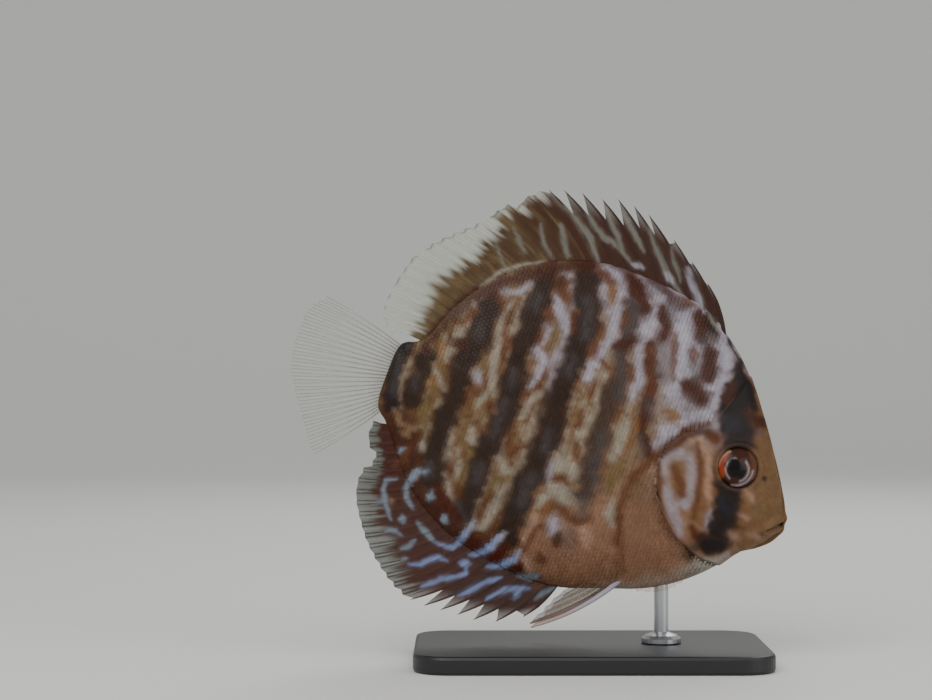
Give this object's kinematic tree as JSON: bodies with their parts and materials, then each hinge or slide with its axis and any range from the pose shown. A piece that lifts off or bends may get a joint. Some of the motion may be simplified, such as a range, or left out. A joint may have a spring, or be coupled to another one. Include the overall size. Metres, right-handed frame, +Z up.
{
  "type": "discus fish model",
  "caption": "Life-size still model of a discus fish swimming nose down with all fins spread, held by a rod on a flat display base.",
  "frame": {"origin": "centre of the underside of the stand base", "axes": "+Z up, +X towards the snout, +Y to the fish's left"},
  "size_m": [0.1243, 0.056, 0.118],
  "materials": {
    "head_skin": "satin",
    "flank_skin": "satin",
    "eye": "gloss",
    "dorsal_membrane": "satin",
    "anal_membrane": "satin",
    "clear_membrane": "satin",
    "pelvic_membrane": "satin",
    "stand_base": "satin",
    "stand_rod": "satin"
  },
  "bodies": {
    "root": {"head": "head_skin", "torso": "flank_skin", "tail_stem": "flank_skin", "eye_right": "eye", "eye_left": "eye", "dorsal_fin": "dorsal_membrane", "anal_fin": "anal_membrane", "caudal_fin": "clear_membrane", "pectoral_fin_right": "clear_membrane", "pectoral_fin_left": "clear_membrane", "pelvic_fin_right": "pelvic_membrane", "pelvic_fin_left": "pelvic_membrane", "stand_base": "stand_base", "stand_rod": "stand_rod"}
  },
  "joints": []
}
